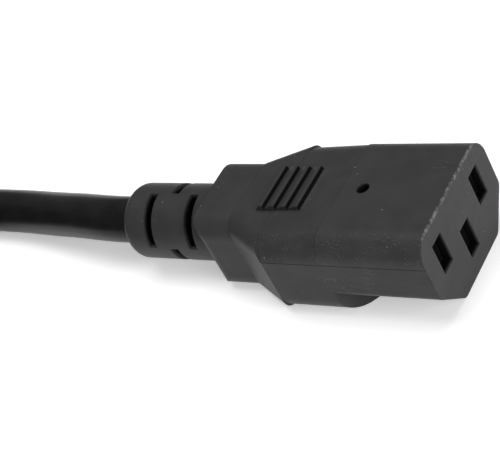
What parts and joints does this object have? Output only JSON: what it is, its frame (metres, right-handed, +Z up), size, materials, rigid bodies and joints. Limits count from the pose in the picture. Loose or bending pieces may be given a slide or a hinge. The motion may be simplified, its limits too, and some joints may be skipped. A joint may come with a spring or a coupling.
{
  "type": "power connector on a lead",
  "caption": "Moulded appliance power connector with ribbed thumb pad and windowed strain relief, on a round cord coiled to its shrouded plug.",
  "frame": {"origin": "on the surface the connector lies on, under the middle of its length and width", "axes": "+X along the connector towards its mating face, +Y across it, +Z up from its base"},
  "size_m": [0.1932, 0.1142, 0.0248],
  "materials": {
    "moulded_pvc": "satin black moulded PVC",
    "carrier": "moulded nylon",
    "contact_bronze": "pressed bronze sheet",
    "line_insulation": "brown PVC",
    "neutral_insulation": "blue PVC",
    "earth_insulation": "green and yellow PVC",
    "copper": "bunched bare copper",
    "cord_jacket": "smooth black PVC jacket",
    "tie": "black strap",
    "pin_plating": "nickel-plated brass"
  },
  "bodies": {
    "root": {"housing": "moulded_pvc", "contact_carrier": "carrier", "line_contact": "contact_bronze", "neutral_contact": "contact_bronze", "earth_contact": "contact_bronze", "line_core": "line_insulation", "neutral_core": "neutral_insulation", "earth_core": "earth_insulation", "line_strands": "copper", "neutral_strands": "copper", "earth_strands": "copper", "sheath_end": "cord_jacket", "cord_lead": "cord_jacket", "cord_coil": "cord_jacket", "cord_tail": "cord_jacket", "coil_tie": "tie", "plug_housing": "moulded_pvc", "plug_carrier": "carrier", "plug_line_pin": "pin_plating", "plug_neutral_pin": "pin_plating", "plug_earth_pin": "pin_plating", "plug_line_core": "line_insulation", "plug_neutral_core": "neutral_insulation", "plug_earth_core": "earth_insulation", "plug_line_strands": "copper", "plug_neutral_strands": "copper", "plug_earth_strands": "copper", "plug_sheath_end": "cord_jacket"}
  },
  "joints": []
}
